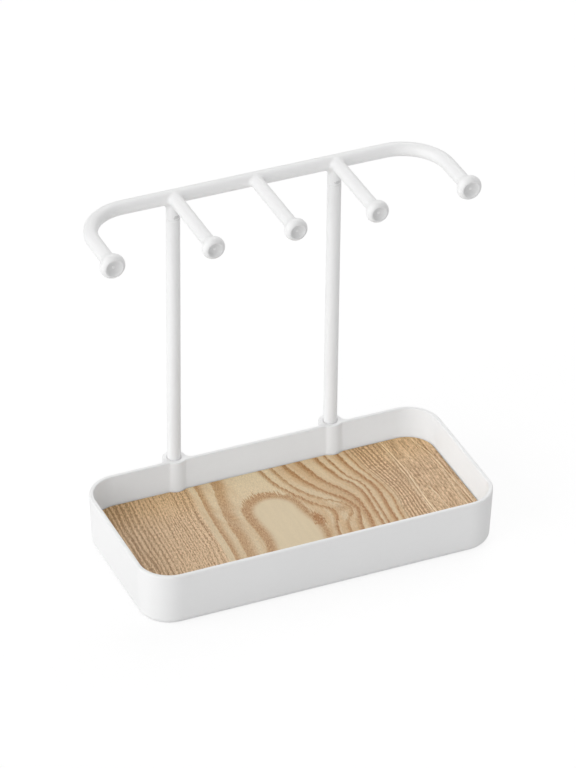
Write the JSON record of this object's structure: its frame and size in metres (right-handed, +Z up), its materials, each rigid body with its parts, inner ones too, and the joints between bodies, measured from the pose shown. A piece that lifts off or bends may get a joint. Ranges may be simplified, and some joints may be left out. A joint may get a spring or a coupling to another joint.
{
  "type": "jewellery display rack",
  "caption": "Table-top jewellery rack: shallow tray with a wooden board, two posts at its rear and a moulded hanger with knobbed hooks reaching forward.",
  "frame": {"origin": "on the table under the middle of the whole rack's box", "axes": "+X along the tray to the right, -Y is the front that the hooks reach towards, +Z up"},
  "size_m": [0.251, 0.1286, 0.2385],
  "materials": {
    "tray_plastic": "satin white moulded plastic",
    "hanger_plastic": "satin white moulded plastic",
    "post_paint": "satin white powder coat on steel tube",
    "board_wood": "pale ash with cathedral grain, matt lacquer",
    "pad_rubber": "soft translucent grey"
  },
  "bodies": {
    "tray_base": {"tray": "tray_plastic", "foot_pad_front_left": "pad_rubber", "foot_pad_front_right": "pad_rubber", "foot_pad_rear_left": "pad_rubber", "foot_pad_rear_right": "pad_rubber"},
    "board": {"liner_board": "board_wood"},
    "post_left": {"left_post": "post_paint"},
    "post_right": {"right_post": "post_paint"},
    "hanger_unit": {"hanger": "hanger_plastic"}
  },
  "joints": [
    {"name": "board_lift", "type": "slide", "parent": "tray_base", "child": "board", "axis": [0, 0, 1], "range_m": [0, 0.04]},
    {"name": "posts_lift", "type": "slide", "parent": "tray_base", "child": "post_left", "axis": [0, 0, 1], "range_m": [0, 0.04]},
    {"name": "right_post_lift", "type": "slide", "parent": "tray_base", "child": "post_right", "axis": [0, 0, 1], "range_m": [0, 0.04]},
    {"name": "hanger_lift", "type": "slide", "parent": "post_left", "child": "hanger_unit", "axis": [0, 0, 1], "range_m": [0, 0.025]}
  ],
  "couplings": [
    {"joint": "right_post_lift", "follows": "posts_lift", "ratio": 1}
  ]
}
